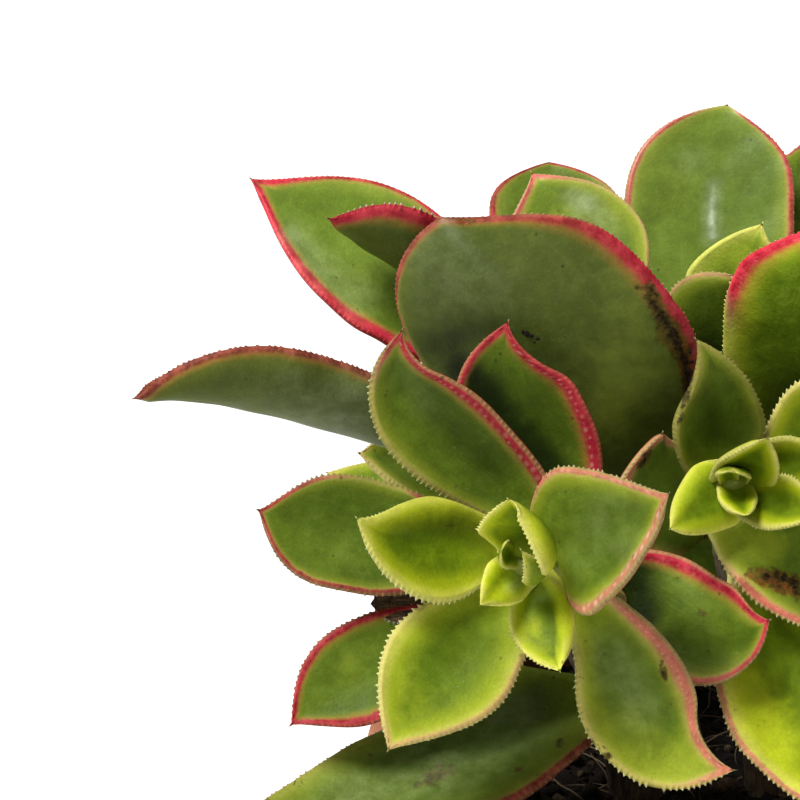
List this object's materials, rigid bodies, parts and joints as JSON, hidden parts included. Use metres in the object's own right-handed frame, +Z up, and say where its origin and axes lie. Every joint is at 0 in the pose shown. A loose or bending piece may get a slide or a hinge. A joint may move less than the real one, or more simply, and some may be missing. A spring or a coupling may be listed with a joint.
{
  "type": "potted aeonium",
  "caption": "Potted aeonium: a clump of fleshy toothed leaf rosettes on short stems, rooted in dark soil in a plain round clay pot with a rolled rim.",
  "frame": {"origin": "middle of the pot's underside, on the surface it stands on", "axes": "+Z up, -Y towards the front of the plant as pictured, +X to its right"},
  "size_m": [0.1488, 0.1302, 0.1575],
  "materials": {
    "clay": "unglazed terracotta, matt",
    "soil": "dark damp peat soil, matt",
    "young_leaf": "waxy yellow-green young leaves on a smooth pale green stem",
    "leaf": "waxy green leaf with a red margin, satin"
  },
  "bodies": {
    "root": {"pot": "clay", "soil": "soil", "stem_a": "young_leaf", "stem_b": "young_leaf", "stem_c": "young_leaf", "stem_d": "young_leaf", "stem_e": "young_leaf", "stem_f": "young_leaf", "stem_g": "young_leaf", "leaf_a01": "leaf", "leaf_a02": "leaf", "leaf_a03": "leaf", "leaf_a08": "leaf", "leaf_a09": "leaf", "leaf_a10": "leaf", "leaf_a11": "leaf", "leaf_a12": "leaf", "leaf_a13": "leaf", "leaf_a14": "leaf", "leaf_b06": "leaf", "leaf_b07": "leaf", "leaf_b08": "leaf", "leaf_b09": "leaf", "leaf_b10": "leaf", "leaf_b11": "leaf", "leaf_b12": "leaf", "leaf_c01": "leaf", "leaf_c03": "leaf", "leaf_c04": "leaf", "leaf_c05": "leaf", "leaf_c06": "leaf", "leaf_c07": "leaf", "leaf_c08": "leaf", "leaf_c09": "leaf", "leaf_c11": "leaf", "leaf_d01": "leaf", "leaf_d02": "leaf", "leaf_d03": "leaf", "leaf_d04": "leaf", "leaf_d05": "leaf", "leaf_d06": "leaf", "leaf_d07": "leaf", "leaf_d08": "leaf", "leaf_e01": "leaf", "leaf_e02": "leaf", "leaf_e03": "leaf", "leaf_e04": "leaf", "leaf_e05": "leaf", "leaf_e06": "leaf", "leaf_f01": "leaf", "leaf_f02": "leaf", "leaf_f03": "leaf", "leaf_f04": "leaf", "leaf_f05": "leaf", "leaf_g01": "leaf", "leaf_g02": "leaf", "leaf_g03": "leaf", "leaf_g04": "leaf", "leaf_g05": "leaf", "leaf_g06": "leaf"}
  },
  "joints": []
}
